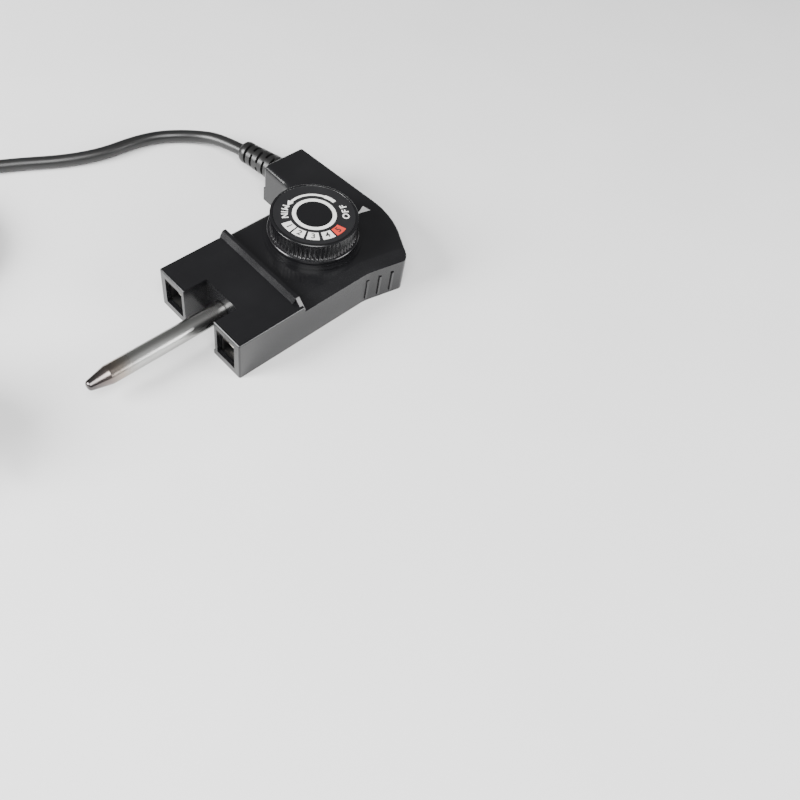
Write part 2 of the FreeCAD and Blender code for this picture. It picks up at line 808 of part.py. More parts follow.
screw_bush = cut(
    "screw_bush",
    fuse(
        "bush_blank",
        rod("bush_barrel", "bush_radius", "bush_height", 0, 0, "bridge_height + frame_sheet - bush_height"),
        rod("bush_flange", "bush_radius + 1", "0.8", 0, 0, "bridge_height - 0.8"),
    ),
    rod("bush_bore", "screw_radius + screw_gap", "bush_height + 4", 0, 0, "bridge_height - bush_height"),
)

BASE_TOP = f"({FRAME_LOW} + frame_sheet)"
LOWER_BLADE = f"({BASE_TOP} + stack_foot)"
UPPER_BLADE = f"({LOWER_BLADE} + blade_thick + blade_space)"
STACK_TOP = f"({UPPER_BLADE} + blade_thick + 1.8)"
BLADE_SIDES = (f"{STACK_MIDDLE} - blade_width / 2", f"{STACK_MIDDLE} + blade_width / 2")
BLADE_END = "stack_place + stack_size / 2 + 4"
BLADE_REACH = "0 - 3"


def with_rivet_hole(name, blank):
    hole = rod(name + "_hole", "1.2", "bridge_height", "stack_place", STACK_MIDDLE, "1")
    return cut(name, blank, hole)


def insulator(name, low, high):
    """One ceramic block of the stack."""
    blank = box(
        name + "_blank",
        ("stack_place - stack_size / 2", "stack_place + stack_size / 2"),
        (f"{STACK_MIDDLE} - stack_size / 2", f"{STACK_MIDDLE} + stack_size / 2"),
        (low, high),
    )
    return with_rivet_hole(name, blank)


stack_foot = insulator("stack_foot", BASE_TOP, LOWER_BLADE)
stack_spacer = insulator("stack_spacer", f"{LOWER_BLADE} + blade_thick", UPPER_BLADE)
stack_cap = insulator("stack_cap", f"{UPPER_BLADE} + blade_thick", STACK_TOP)
moving_blade = with_rivet_hole(
    "moving_blade",
    fuse(
        "moving_blade_blank",
        box("moving_strip", (BLADE_REACH, BLADE_END), BLADE_SIDES, (LOWER_BLADE, f"{LOWER_BLADE} + blade_thick")),
        box("moving_tab", (f"{BLADE_END} - blade_thick", BLADE_END), BLADE_SIDES,
            (LOWER_BLADE, "probe_height + rod_radius + 0.5")),
    ),
)
fixed_blade = with_rivet_hole(
    "fixed_blade",
    box("fixed_strip", (BLADE_REACH, f"{BLADE_END} - 1.4"), BLADE_SIDES,
        (UPPER_BLADE, f"{UPPER_BLADE} + blade_thick")),
)
POINT_RISE = "(blade_space - point_gap) / 2"
lower_point = rod("lower_point", "point_radius", POINT_RISE, "6", STACK_MIDDLE, f"{LOWER_BLADE} + blade_thick")
upper_point = rod("upper_point", "point_radius", POINT_RISE, "6", STACK_MIDDLE, f"{UPPER_BLADE} - {POINT_RISE}")
stack_rivet = fuse(
    "stack_rivet",
    rod("rivet_shank", "1.1", f"{STACK_TOP} - {FRAME_LOW} + 0.8", "stack_place", STACK_MIDDLE, f"{FRAME_LOW} - 0.4"),
    rod("rivet_head", "2.3", "0.8", "stack_place", STACK_MIDDLE, STACK_TOP),
    rod("rivet_foot", "2.3", "0.5", "stack_place", STACK_MIDDLE, f"{FRAME_LOW} - 0.5"),
)
push_pin = rod(
    "push_pin", "1.2", f"{ROD_BACK} - ({BLADE_END})", BLADE_END, "probe_offset", "probe_height", "x"
)

# ---------------------------------------------------------------- dial
# The fluted knob snaps through the top shell and turns the adjusting screw by a flat on its
# shaft. The screw climbs in the bush, so it slides in the knob while both turn.

FACE_SEAT = "dial_top - face_thick - 0.05"
HUB_FOOT = "(bridge_height + frame_sheet + 1.3)"
CLIP_FOOT = f"({ROOF} - clip_thick - 0.35)"
SHOULDER = f"({SEAT_TOP} + 0.7)"
SHAFT_RADIUS = "(screw_radius + 0.5)"
knob_turned = turned(
    "knob_turned",
    [
        ("0", HUB_FOOT),
        ("hub_radius", HUB_FOOT),
        ("hub_radius", CLIP_FOOT),
        ("hub_radius - 0.6", CLIP_FOOT),
        ("hub_radius - 0.6", f"{CLIP_FOOT} + clip_thick"),
        ("hub_radius", f"{CLIP_FOOT} + clip_thick"),
        ("hub_radius", SHOULDER),
        ("hub_radius + 3", SHOULDER),
        ("hub_radius + 3", "dial_top - dial_wall - 1.4"),
        ("dial_radius - dial_wall", "dial_top - dial_wall - 1.4"),
        ("dial_radius - dial_wall", DIAL_FOOT),
        ("skirt_radius", DIAL_FOOT),
        ("skirt_radius", f"{DIAL_FOOT} + skirt_height"),
        ("dial_radius", f"{DIAL_FOOT} + skirt_height"),
        ("dial_radius", "dial_top - dial_round"),
        ("dial_radius - dial_round", "dial_top"),
        ("face_radius + 0.15", "dial_top"),
        ("face_radius + 0.15", FACE_SEAT),
        ("0", FACE_SEAT),
    ],
)


def flat_bar(name, radius, low, high, flat):
    """A round bar along the dial's axis with one side cut flat."""
    bar = rod(name + "_round", radius, f"({high}) - ({low})", 0, 0, low)
    side = box(name + "_side", (flat, "2 * screw_radius + 2"), ("0 - 2 * screw_radius", "2 * screw_radius"), (low, high))
    return cut(name, bar, side)


SHAFT_TOP = "dial_top - dial_wall - 0.9"
FLAT = f"{SHAFT_RADIUS} - screw_flat"
dial_knob = cut(
    "dial_knob",
    knob_turned,
    flat_bar("knob_bore", f"{SHAFT_RADIUS} + screw_gap", f"{HUB_FOOT} - 1", f"{SHAFT_TOP} + 0.3", f"{FLAT} + screw_gap"),
)
dial_face = cut(
    "dial_face",
    rod("face_disc", "face_radius", "face_thick", 0, 0, "dial_top - face_thick"),
    rod("face_hole", "cap_radius + 0.1", "face_thick + 2", 0, 0, "dial_top - face_thick - 1"),
)
dial_cap = rod("dial_cap", "cap_radius", "cap_thick - 0.2", 0, 0, "dial_top - face_thick")
hub_clip = cut(
    "hub_clip",
    rod("clip_disc", "clip_radius", "clip_thick - 0.1", 0, 0, f"{CLIP_FOOT} + 0.05"),
    rod("clip_hole", "hub_radius - 0.55", "4", 0, 0, f"{CLIP_FOOT} - 1"),
    box("clip_gap", ("0", "clip_radius + 1"), ("0 - 1.6", "1.6"), (f"{CLIP_FOOT} - 1", f"{CLIP_FOOT} + 2")),
)
friction_washer = cut(
    "friction_washer",
    rod("washer_disc", "hub_radius + 3", "0.6", 0, 0, SEAT_TOP),
    rod("washer_hole", "hub_radius + 0.3", "4", 0, 0, f"{SEAT_TOP} - 1"),
)
SHAFT_FOOT = f"({HUB_FOOT} - 0.3)"
SCREW_TIP = f"({UPPER_BLADE} + blade_thick + 0.9)"
adjusting_screw = cut(
    "adjusting_screw",
    turned(
        "screw_turned",
        [
            ("0", SCREW_TIP),
            ("screw_tip_radius", SCREW_TIP),
            ("screw_tip_radius", f"{SCREW_TIP} + 1.4"),
            ("screw_radius", f"{SCREW_TIP} + 2.2"),
            ("screw_radius", SHAFT_FOOT),
            (SHAFT_RADIUS, SHAFT_FOOT),
            (SHAFT_RADIUS, SHAFT_TOP),
            ("0", SHAFT_TOP),
        ],
    ),
    box("shaft_flat", (FLAT, "2 * screw_radius + 2"), ("0 - 2 * screw_radius", "2 * screw_radius"),
        (SHAFT_FOOT, f"{SHAFT_TOP} + 1")),
)

# ---------------------------------------------------------------- cord
# A round three-core cord runs through a ribbed sleeve into the arm, where a clamp holds it.


def smooth_run(name, points, radius):
    """A round tube along straight runs joined by arcs as large as the two runs allow."""
    edges = []
    start = points[0]
    tightest = None
    length = 0.0
    for before, corner, after in zip(points, points[1:], points[2:]):
        arriving = (corner - before).normalize()
        leaving = (after - corner).normalize()
        turn = arriving.getAngle(leaving)
        short = min((corner - before).Length, (after - corner).Length)
        bend = 0.45 * short / math.tan(turn / 2)
        into = corner - arriving * 0.45 * short
        out = corner + leaving * 0.45 * short
        centre_line = (leaving - arriving).normalize()
        middle = corner + centre_line * (bend / math.cos(turn / 2) - bend)
        edges.append(Part.LineSegment(start, into).toShape())
        edges.append(Part.Arc(into, middle, out).toShape())
        tightest = bend if tightest is None else min(tightest, bend)
        start = out
    edges.append(Part.LineSegment(start, points[-1]).toShape())
    path = Part.Wire(edges)
    length = path.Length
    across = Part.Wire(Part.Circle(points[0], points[1] - points[0], radius).toShape())
    solid = path.makePipeShell([across], True, True)
    expected = math.pi * radius ** 2 * length
    print(f"{name}: length {length:.1f}, tightest bend {tightest:.1f}, volume ratio {solid.Volume / expected:.4f}")
    item = doc.addObject("Part::Feature", name)
    item.Shape = solid
    return item


arm_middle = value(ARM_MIDDLE)
arm_end = -value("arm_reach")
exit_height = value("sleeve_height")
swing = math.radians(value("sleeve_swing"))
droop = math.radians(value("sleeve_droop"))
sleeve_heading = Vec(
    math.sin(swing) * math.cos(droop), -math.cos(swing) * math.cos(droop), -math.sin(droop)
)
cord_radius = value("cord_radius")
cord_inner_end = Vec(arm_middle, arm_end + value("tail_inside"), exit_height)
sleeve_root = Vec(arm_middle, arm_end - 2.2, exit_height)
coil_centre = Vec(value("coil_x"), value("coil_y"), 0)
coil_ring = cut(
    "coil_ring",
    rod("coil_outside", "coil_radius + coil_wide / 2", "coil_high", "coil_x", "coil_y"),
    rod("coil_inside", "coil_radius - coil_wide / 2", "coil_high + 2", "coil_x", "coil_y", "0 - 1"),
)
COIL_MIDDLE = "coil_y + coil_radius"
coil_tie = cut(
    "coil_tie",
    box("tie_outside", ("coil_x - tie_width / 2", "coil_x + tie_width / 2"),
        (f"{COIL_MIDDLE} - coil_wide / 2 - tie_ease - tie_sheet", f"{COIL_MIDDLE} + coil_wide / 2 + tie_sheet"),
        ("0", "coil_high + tie_sheet")),
    box("tie_inside", ("coil_x - tie_width", "coil_x + tie_width"),
        (f"{COIL_MIDDLE} - coil_wide / 2 - tie_ease", f"{COIL_MIDDLE} + coil_wide / 2"),
        ("tie_sheet", "coil_high")),
)
tie_groove = box(
    "tie_groove", ("coil_x - tie_width / 2", "coil_x + tie_width / 2"),
    ("coil_y", f"{COIL_MIDDLE} + coil_wide"), ("0 - 1", "tie_sheet"),
)
supply_cord = smooth_run(
    "supply_cord",
    [
        cord_inner_end,
        sleeve_root,
        sleeve_root + sleeve_heading * 37,
        Vec(-9, -108, 3.9),
        Vec(10, -120, cord_radius),
        Vec(44, -122, cord_radius),
        Vec(82, -143, cord_radius),
        Vec(120, -157, cord_radius),
        coil_centre + Vec(0, -40.5, cord_radius),
    ],
    cord_radius,
)

boot = turned(
    "boot",
    [("0", "0")]
    + [
        point
        for i in range(5)
        for point in (
            (f"sleeve_root_radius - {0.26 * i}", f"{4.3 * i if i else 0} + 0"),
            (f"sleeve_root_radius - {0.26 * i + 0.1}", f"{4.3 * i + 3.0}"),
            (f"sleeve_root_radius - {0.26 * i + 1.6}", f"{4.3 * i + 3.1}"),
            (f"sleeve_root_radius - {0.26 * i + 1.7}", f"{4.3 * i + 4.2}"),
        )
    ]
    + [
        ("sleeve_end_radius", "21.6"),
        ("sleeve_end_radius + 0.2", "sleeve_length - 2.4"),
        ("sleeve_end_radius - 1.2", "sleeve_length - 0.4"),
        ("0", "sleeve_length - 0.4"),
    ],
)
boot.Placement = FreeCAD.Placement(sleeve_root - sleeve_heading * 1.2, FreeCAD.Rotation(Vec(0, 0, 1), sleeve_heading))
strain_relief = cut(
    "strain_relief",
    fuse(
        "sleeve_blank",
        boot,
        rod("sleeve_collar", "sleeve_root_radius + 0.6", "2.4", ARM_MIDDLE, "0 - arm_reach - 2.4", "sleeve_height", "y"),
        rod("sleeve_neck", "sleeve_neck_radius", "wall + 1", ARM_MIDDLE, "0 - arm_reach - 0.5", "sleeve_height", "y"),
        rod("sleeve_flange", "sleeve_neck_radius + 1.6", "sleeve_flange", ARM_MIDDLE, "0 - arm_reach + wall + 0.05",
            "sleeve_height", "y"),
    ),
    supply_cord,
)

cord_clamp = cut(
    "cord_clamp",
    box("clamp_bar", (f"{ARM_MIDDLE} - clamp_span / 2", f"{ARM_MIDDLE} + clamp_span / 2"),
        (f"{CLAMP_PLACE} - clamp_width / 2", f"{CLAMP_PLACE} + clamp_width / 2"),
        (CORD_TOP, f"{CORD_TOP} + clamp_height")),
    *(
        rod(f"clamp_hole_{i}", "1.3", "clamp_height + 2", x, CLAMP_PLACE, f"{CORD_TOP} - 1")
        for i, x in enumerate(CLAMP_SCREWS)
    ),
)
clamp_screws = group(
    "clamp_screws",
    *(
        fuse(
            f"clamp_screw_{i}",
            rod(f"clamp_shank_{i}", "1.15", "8", x, CLAMP_PLACE, f"{CORD_TOP} + clamp_height - 7.9"),
            rod(f"clamp_head_{i}", "2.2", "1.4", x, CLAMP_PLACE, f"{CORD_TOP} + clamp_height"),
        )
        for i, x in enumerate(CLAMP_SCREWS)
    ),
)

# Four insulated wires part from the cord's end: one to each socket contact by way of the
# switch, one to the switch itself and the earth to the thermostat's frame.

wire_radius = value("wire_radius")
wire_level = value("probe_height + contact_sheet / 2")
tail_end = value(CONTACT_TAIL)
stack_middle = value(STACK_MIDDLE)
blade_side = value("blade_width") / 2
lower_level = value(f"{LOWER_BLADE} + blade_thick / 2")
upper_level = value(f"{UPPER_BLADE} + blade_thick / 2")
fan = 1.4
neutral_wire = smooth_run(
    "neutral_wire",
    [
        cord_inner_end + Vec(-fan, 0, -0.8),
        cord_inner_end + Vec(-fan, 8.8, -0.8),
        Vec(-18, -15, wire_level),
        Vec(0, -13.2, wire_level),
        Vec(tail_end, -13.2, wire_level),
    ],
    wire_radius,
)
line_wire = smooth_run(
    "line_wire",
    [
        cord_inner_end + Vec(fan, 0, -0.8),
        cord_inner_end + Vec(fan, 9.8, -0.8),
        Vec(-14, -14, 8.5),
        Vec(0, -9.5, lower_level),
        Vec(0, stack_middle - blade_side, lower_level),
    ],
    wire_radius,
)
earth_wire = smooth_run(
    "earth_wire",
    [
        cord_inner_end + Vec(0, 0, 1.6),
        Vec(-26, -23, 12.6),
        Vec(-22, -6, 9.5),
        Vec(-17, 1, 8),
        Vec(-value("frame_rear"), 1, 8),
    ],
    wire_radius,
)
link_wire = smooth_run(
    "link_wire",
    [
        Vec(2, stack_middle + blade_side, upper_level),
        Vec(2, 13.5, upper_level),
        Vec(12, 19.5, wire_level),
        Vec(tail_end, 21, wire_level),
    ],
    wire_radius,
)

# ---------------------------------------------------------------- plug
# A two-pin mains plug with side earth strips lies beside the tied coil of cord.

PLUG_HEIGHT = "(plug_radius + 0.05)"
PLUG_FRONT = "(plug_root + plug_length)"
plug_height = value(PLUG_HEIGHT)


def lay_on_plug(item, start):
    """Lay a piece made along Z on the plug's axis, from one place along Y."""
    item.Placement = FreeCAD.Placement(Vec(), FreeCAD.Rotation(Vec(1, 0, 0), -90))
    return place(item, "plug_x", start, PLUG_HEIGHT)


plug_round = lay_on_plug(
    turned(
        "plug_round",
        [
            ("0", "0"),
            ("plug_neck_radius + 1", "0"),
            ("plug_radius - 2", "plug_length * 0.25"),
            ("plug_radius", "plug_length * 0.35"),
            ("plug_radius", "plug_length - 1"),
            ("plug_radius - 1", "plug_length"),
            ("0", "plug_length"),
        ],
    ),
    "plug_root",
)
STRIP_WIDE = "3.2"
STRIP_BACK = f"({PLUG_FRONT} - 16)"
strip_grooves = [
    box(f"strip_groove_{i}", (f"plug_x - {STRIP_WIDE}", f"plug_x + {STRIP_WIDE}"), (STRIP_BACK, f"{PLUG_FRONT} + 1"), z)
    for i, z in enumerate(((f"{PLUG_HEIGHT} + plug_radius - 2.6", f"{PLUG_HEIGHT} + plug_radius + 1"),
                           (f"{PLUG_HEIGHT} - plug_radius - 1", f"{PLUG_HEIGHT} - plug_radius + 2.6")))
]
plug_body = cut("plug_body", plug_round, *strip_grooves)
plug_earth_strips = group(
    "plug_earth_strips",
    box("strip_high", (f"plug_x - {STRIP_WIDE} + 0.2", f"plug_x + {STRIP_WIDE} - 0.2"), (STRIP_BACK, f"{PLUG_FRONT} - 0.3"),
        (f"{PLUG_HEIGHT} + plug_radius - 2.6", f"{PLUG_HEIGHT} + plug_radius - 1")),
    box("strip_low", (f"plug_x - {STRIP_WIDE} + 0.2", f"plug_x + {STRIP_WIDE} - 0.2"), (STRIP_BACK, f"{PLUG_FRONT} - 0.3"),
        (f"{PLUG_HEIGHT} - plug_radius + 1", f"{PLUG_HEIGHT} - plug_radius + 2.6")),
)
plug_pins = group(
    "plug_pins",
    *(
        rod(f"plug_pin_{i}", "pin_radius", "pin_length", x, PLUG_FRONT, PLUG_HEIGHT, "y")
        for i, x in enumerate(("plug_x - pin_spacing / 2", "plug_x + pin_spacing / 2"))
    ),
)
lead_level = 9.45
plug_lead = smooth_run(
    "plug_lead",
    [
        coil_centre + Vec(40.4, 0, lead_level),
        coil_centre + Vec(40.4, 20, lead_level),
        Vec(value("plug_x"), -78, plug_height),
        Vec(value("plug_x"), value("plug_root") - 4, plug_height),
    ],
    cord_radius,
)
plug_sleeve = cut(
    "plug_sleeve",
    lay_on_plug(
        turned(
            "plug_sleeve_turned",
            [
                ("0", "0"),
                ("cord_radius + 1.4", "0"),
                ("cord_radius + 1.8", "plug_sleeve_length * 0.3"),
                ("plug_neck_radius - 2.5", "plug_sleeve_length * 0.7"),
                ("plug_neck_radius", "plug_sleeve_length"),
                ("0", "plug_sleeve_length"),
            ],
        ),
        "plug_root - plug_sleeve_length",
    ),
    plug_lead,
)
cord_coil = cut("cord_coil", coil_ring, tie_groove, supply_cord, plug_lead)

# ---------------------------------------------------------------- check and write

doc.recompute()
NODES = [
    upper_shell, lower_shell, cover_screws, *socket_blocks, *contacts, probe_tube, probe_rod, probe_collar,
    thermostat_frame, mica_sheet, frame_screws, screw_bush, stack_foot, stack_spacer, stack_cap, moving_blade,
    fixed_blade, lower_point, upper_point, stack_rivet, push_pin, dial_knob, dial_face, dial_cap, hub_clip,
    friction_washer, adjusting_screw, strain_relief, cord_clamp, clamp_screws, neutral_wire, line_wire,
    earth_wire, link_wire, supply_cord, cord_coil, coil_tie, plug_lead, plug_body, plug_sleeve, plug_pins,
    plug_earth_strips,
]
for item in doc.Objects:
    assert not {"Invalid", "Error"} & set(item.State), f"{item.Name}: {item.State}"
for node in NODES:
    node.Label = node.Name
    assert not node.Shape.isNull() and node.Shape.isValid(), f"{node.Name} has no valid shape"
os.makedirs("parts", exist_ok=True)
for node in NODES:
    node.Shape.exportStep(f"parts/{node.Label}.step")
print(len(NODES), "nodes written")
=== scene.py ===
"""Plug-in heat control for an electric griddle: looks, finishes and the free cord.

Lengths are in metres in the frame of the CAD model: +X along the probe, +Z up.
"""
import math

import bmesh
import bpy
from mathutils import Matrix, Vector
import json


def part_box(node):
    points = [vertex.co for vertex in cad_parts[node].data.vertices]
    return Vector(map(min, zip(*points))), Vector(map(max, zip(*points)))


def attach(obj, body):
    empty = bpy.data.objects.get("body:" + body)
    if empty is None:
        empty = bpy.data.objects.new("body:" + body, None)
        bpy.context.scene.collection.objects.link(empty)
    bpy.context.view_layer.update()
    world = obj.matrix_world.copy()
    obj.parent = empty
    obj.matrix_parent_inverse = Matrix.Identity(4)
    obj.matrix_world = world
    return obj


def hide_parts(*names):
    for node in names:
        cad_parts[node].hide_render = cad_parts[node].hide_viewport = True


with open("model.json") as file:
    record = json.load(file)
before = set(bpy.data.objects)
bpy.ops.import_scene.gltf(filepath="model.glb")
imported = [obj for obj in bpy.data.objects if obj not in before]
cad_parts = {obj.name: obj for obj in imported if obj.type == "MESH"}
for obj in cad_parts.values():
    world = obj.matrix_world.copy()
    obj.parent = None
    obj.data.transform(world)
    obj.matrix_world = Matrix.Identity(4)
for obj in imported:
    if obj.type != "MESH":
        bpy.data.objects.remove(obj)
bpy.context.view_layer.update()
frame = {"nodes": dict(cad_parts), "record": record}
nodes = frame["nodes"]

# ---------------------------------------------------------------- view and light
# One long lens looks down on the control from beyond the probe's right side.
# A big soft box overhead and a paler one behind draw the highlights along the black edges.

camera = bpy.data.objects.new("camera", bpy.data.cameras.new("camera"))
bpy.context.collection.objects.link(camera)
camera.data.lens = 38.837
camera.data.sensor_width = 36
right = Vector((-0.71104801, 0.68969422, 0.13686712))
up = Vector((-0.51332171, -0.64218874, 0.56929293))
back = Vector((0.48053257, 0.33453774, 0.81066204))
turn = Matrix((right, up, back)).transposed().to_4x4()
camera.matrix_world = Matrix.Translation((0.20479, 0.21290, 0.31119)) @ turn
bpy.context.scene.camera = camera

world = bpy.data.worlds.new("studio")
world.use_nodes = True
world.node_tree.nodes["Background"].inputs["Color"].default_value = (1, 1, 1, 1)
world.node_tree.nodes["Background"].inputs["Strength"].default_value = 0.2
bpy.context.scene.world = world


def soft_box(name, place, target, size, power):
    light = bpy.data.objects.new(name, bpy.data.lights.new(name, "AREA"))
    light.data.shape = "DISK"
    light.data.size = size
    light.data.energy = power
    light.location = place
    light.rotation_euler = (Vector(target) - Vector(place)).to_track_quat("-Z", "Y").to_euler()
    bpy.context.collection.objects.link(light)


soft_box("front_left", (0.94, -0.40, 0.54), (0.02, 0, 0.02), 0.6, 34)
soft_box("right", (-0.50, 0.85, 0.36), (0.02, 0, 0.02), 0.6, 12)
soft_box("over_camera", (0.45, 0.45, 1.0), (0.02, 0, 0.02), 0.8, 20)


# ---------------------------------------------------------------- finishes
# Every finish starts from the same two effects: a fine grain that raises the surface, and broad
# uneven patches that shift its colour and gloss.

def effect(name, outputs, scales):
    """A node group of noise on object coordinates, one noise for each named output."""
    group = bpy.data.node_groups.new(name, "ShaderNodeTree")
    group.interface.new_socket("Size", in_out="INPUT", socket_type="NodeSocketFloat")
    enter = group.nodes.new("NodeGroupInput")
    leave = group.nodes.new("NodeGroupOutput")
    coordinates = group.nodes.new("ShaderNodeTexCoord")
    for output, scale in zip(outputs, scales):
        group.interface.new_socket(output, in_out="OUTPUT", socket_type="NodeSocketFloat")
        noise = group.nodes.new("ShaderNodeTexNoise")
        noise.inputs["Detail"].default_value = 4
        stretch = group.nodes.new("ShaderNodeMath")
        stretch.operation = "MULTIPLY"
        stretch.inputs[1].default_value = scale
        group.links.new(enter.outputs["Size"], stretch.inputs[0])
        group.links.new(stretch.outputs[0], noise.inputs["Scale"])
        group.links.new(coordinates.outputs["Object"], noise.inputs["Vector"])
        group.links.new(noise.outputs["Fac"], leave.inputs[output])
    return group


surface_effect = effect("uneven_surface", ("Grain", "Patch", "Dust"), (1.0, 0.03, 0.45))


def finish(name, colour, pale, roughness, grain=2600, depth=0.00004, metallic=0.0, dust=0.0):
    """A surface that shifts from one colour to a paler one, with grain, patches and specks of dust."""
    material = bpy.data.materials.new(name)
    material.use_nodes = True
    tree = material.node_tree
    shader = tree.nodes["Principled BSDF"]
    shader.inputs["Metallic"].default_value = metallic
    uneven = tree.nodes.new("ShaderNodeGroup")
    uneven.node_tree = surface_effect
    uneven.inputs["Size"].default_value = grain
    mix = tree.nodes.new("ShaderNodeMix")
    mix.data_type = "RGBA"
    mix.inputs["A"].default_value = (*colour, 1)
    mix.inputs["B"].default_value = (*pale, 1)
    tree.links.new(uneven.outputs["Patch"], mix.inputs["Factor"])
    specks = tree.nodes.new("ShaderNodeMapRange")
    specks.inputs["From Min"].default_value = 0.68
    specks.inputs["From Max"].default_value = 0.8
    specks.inputs["To Max"].default_value = dust
    tree.links.new(uneven.outputs["Dust"], specks.inputs["Value"])
    dusty = tree.nodes.new("ShaderNodeMix")
    dusty.data_type = "RGBA"
    dusty.inputs["B"].default_value = (0.4, 0.39, 0.37, 1)
    tree.links.new(specks.outputs["Result"], dusty.inputs["Factor"])
    tree.links.new(mix.outputs["Result"], dusty.inputs["A"])
    tree.links.new(dusty.outputs["Result"], shader.inputs["Base Color"])
    gloss = tree.nodes.new("ShaderNodeMapRange")
    gloss.inputs["From Min"].default_value = 0.3
    gloss.inputs["From Max"].default_value = 0.7
    gloss.inputs["To Min"].default_value = roughness - 0.05
    gloss.inputs["To Max"].default_value = roughness + 0.07
    tree.links.new(uneven.outputs["Patch"], gloss.inputs["Value"])
    tree.links.new(gloss.outputs["Result"], shader.inputs["Roughness"])
    bump = tree.nodes.new("ShaderNodeBump")
    bump.inputs["Strength"].default_value = 0.6
    bump.inputs["Distance"].default_value = depth
    tree.links.new(uneven.outputs["Grain"], bump.inputs["Height"])
    tree.links.new(bump.outputs["Normal"], shader.inputs["Normal"])
    return material


FINISHES = {
    "housing_plastic": finish("housing_black", (0.004, 0.004, 0.0045), (0.009, 0.009, 0.01), 0.2, 1500, 0.000008, dust=0.02),
    "dial_plastic": finish("dial_black", (0.004, 0.004, 0.0045), (0.009, 0.009, 0.01), 0.22, 1500, 0.000008, dust=0.02),
    "dial_print": finish("plate_black", (0.008, 0.008, 0.009), (0.014, 0.014, 0.015), 0.38, 1800, 0.00001, dust=0.03),
    "socket_ceramic": finish("steatite", (0.62, 0.58, 0.5), (0.78, 0.75, 0.68), 0.7),
    "socket_moulding": finish("socket_black", (0.006, 0.006, 0.006), (0.012, 0.012, 0.012), 0.4),
    "spring_steel": finish("spring_steel", (0.55, 0.53, 0.48), (0.75, 0.72, 0.66), 0.32, 900, metallic=1.0),
    "sheet_steel": finish("sheet_steel", (0.5, 0.5, 0.5), (0.66, 0.66, 0.66), 0.4, 700, metallic=1.0),
    "mica": finish("mica", (0.42, 0.36, 0.28), (0.6, 0.54, 0.45), 0.35),
    "brass": finish("brass", (0.62, 0.46, 0.2), (0.78, 0.62, 0.32), 0.3, 900, metallic=1.0),
    "screw_steel": finish("screw_steel", (0.45, 0.45, 0.46), (0.62, 0.62, 0.63), 0.35, 900, metallic=1.0),
    "cord_sheath": finish("cord_black", (0.007, 0.007, 0.007), (0.014, 0.014, 0.014), 0.34, 1500, 0.00002, dust=0.05),
    "sleeve_rubber": finish("sleeve_black", (0.006, 0.006, 0.006), (0.013, 0.013, 0.013), 0.34, 1500, 0.00002, dust=0.05),
    "plug_rubber": finish("plug_black", (0.008, 0.008, 0.009), (0.016, 0.016, 0.017), 0.38, 1800, 0.00002, dust=0.05),
    "pin_metal": finish("nickel", (0.62, 0.6, 0.56), (0.8, 0.78, 0.74), 0.22, 700, metallic=1.0),
    "wire_blue": finish("blue_sheath", (0.03, 0.09, 0.4), (0.05, 0.14, 0.5), 0.4),
    "wire_brown": finish("brown_sheath", (0.13, 0.05, 0.02), (0.2, 0.09, 0.04), 0.4),
    "wire_green": finish("green_sheath", (0.12, 0.35, 0.04), (0.4, 0.5, 0.05), 0.4),
    "tie_plastic": finish("tie_black", (0.02, 0.02, 0.02), (0.04, 0.04, 0.04), 0.5),
}


def heat_tint(material):
    """Straw and blue bands on the probe's cone, where the steel has been hot."""
    tree = material.node_tree
    shader = tree.nodes["Principled BSDF"]
    coordinates = tree.nodes.new("ShaderNodeTexCoord")
    axes = tree.nodes.new("ShaderNodeSeparateXYZ")
    wobble = tree.nodes.new("ShaderNodeTexNoise")
    wobble.inputs["Scale"].default_value = 160
    along = tree.nodes.new("ShaderNodeMath")
    along.operation = "MULTIPLY_ADD"
    along.inputs[1].default_value = 0.004
    bands = tree.nodes.new("ShaderNodeMapRange")
    bands.inputs["From Min"].default_value = 0.104
    bands.inputs["From Max"].default_value = 0.124
    ramp = tree.nodes.new("ShaderNodeValToRGB")
    stops = ((0.0, (0.42, 0.42, 0.41)), (0.35, (0.34, 0.3, 0.26)), (0.65, (0.2, 0.17, 0.16)), (1.0, (0.12, 0.11, 0.11)))
    for place, colour in stops[1:-1]:
        ramp.color_ramp.elements.new(place).color = (*colour, 1)
    ramp.color_ramp.elements[0].color = (*stops[0][1], 1)
    ramp.color_ramp.elements[-1].color = (*stops[-1][1], 1)
    tree.links.new(coordinates.outputs["Object"], axes.inputs["Vector"])
    tree.links.new(coordinates.outputs["Object"], wobble.inputs["Vector"])
    tree.links.new(wobble.outputs["Fac"], along.inputs[0])
    tree.links.new(axes.outputs["X"], along.inputs[2])
    tree.links.new(along.outputs[0], bands.inputs["Value"])
    tree.links.new(bands.outputs["Result"], ramp.inputs["Fac"])
    tree.links.new(ramp.outputs["Color"], shader.inputs["Base Color"])


FINISHES["probe_steel"] = finish("probe_steel", (0.36, 0.36, 0.35), (0.46, 0.46, 0.45), 0.24, 600, 0.00002, 1.0)
heat_tint(FINISHES["probe_steel"])
for part in frame["record"]["subparts"]:
    piece = nodes[part["node"]]
    piece.data.materials.clear()
    piece.data.materials.append(FINISHES[part["material_slot"]])


def add_piece(name, bm, material, body, smooth=True):
    """Put a finished mesh in the scene, riding on a CAD body."""
    mesh = bpy.data.meshes.new(name)
    bmesh.ops.recalc_face_normals(bm, faces=bm.faces)
    bm.to_mesh(mesh)
    bm.free()
    for face in mesh.polygons:
        face.use_smooth = smooth
    mesh.materials.append(material)
    piece = bpy.data.objects.new(name, mesh)
    bpy.context.collection.objects.link(piece)
    if smooth:
        mesh.set_sharp_from_angle(angle=math.radians(38))
    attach(piece, body)
    return piece


# ---------------------------------------------------------------- floor
# A plain pale sheet that the control rests on.

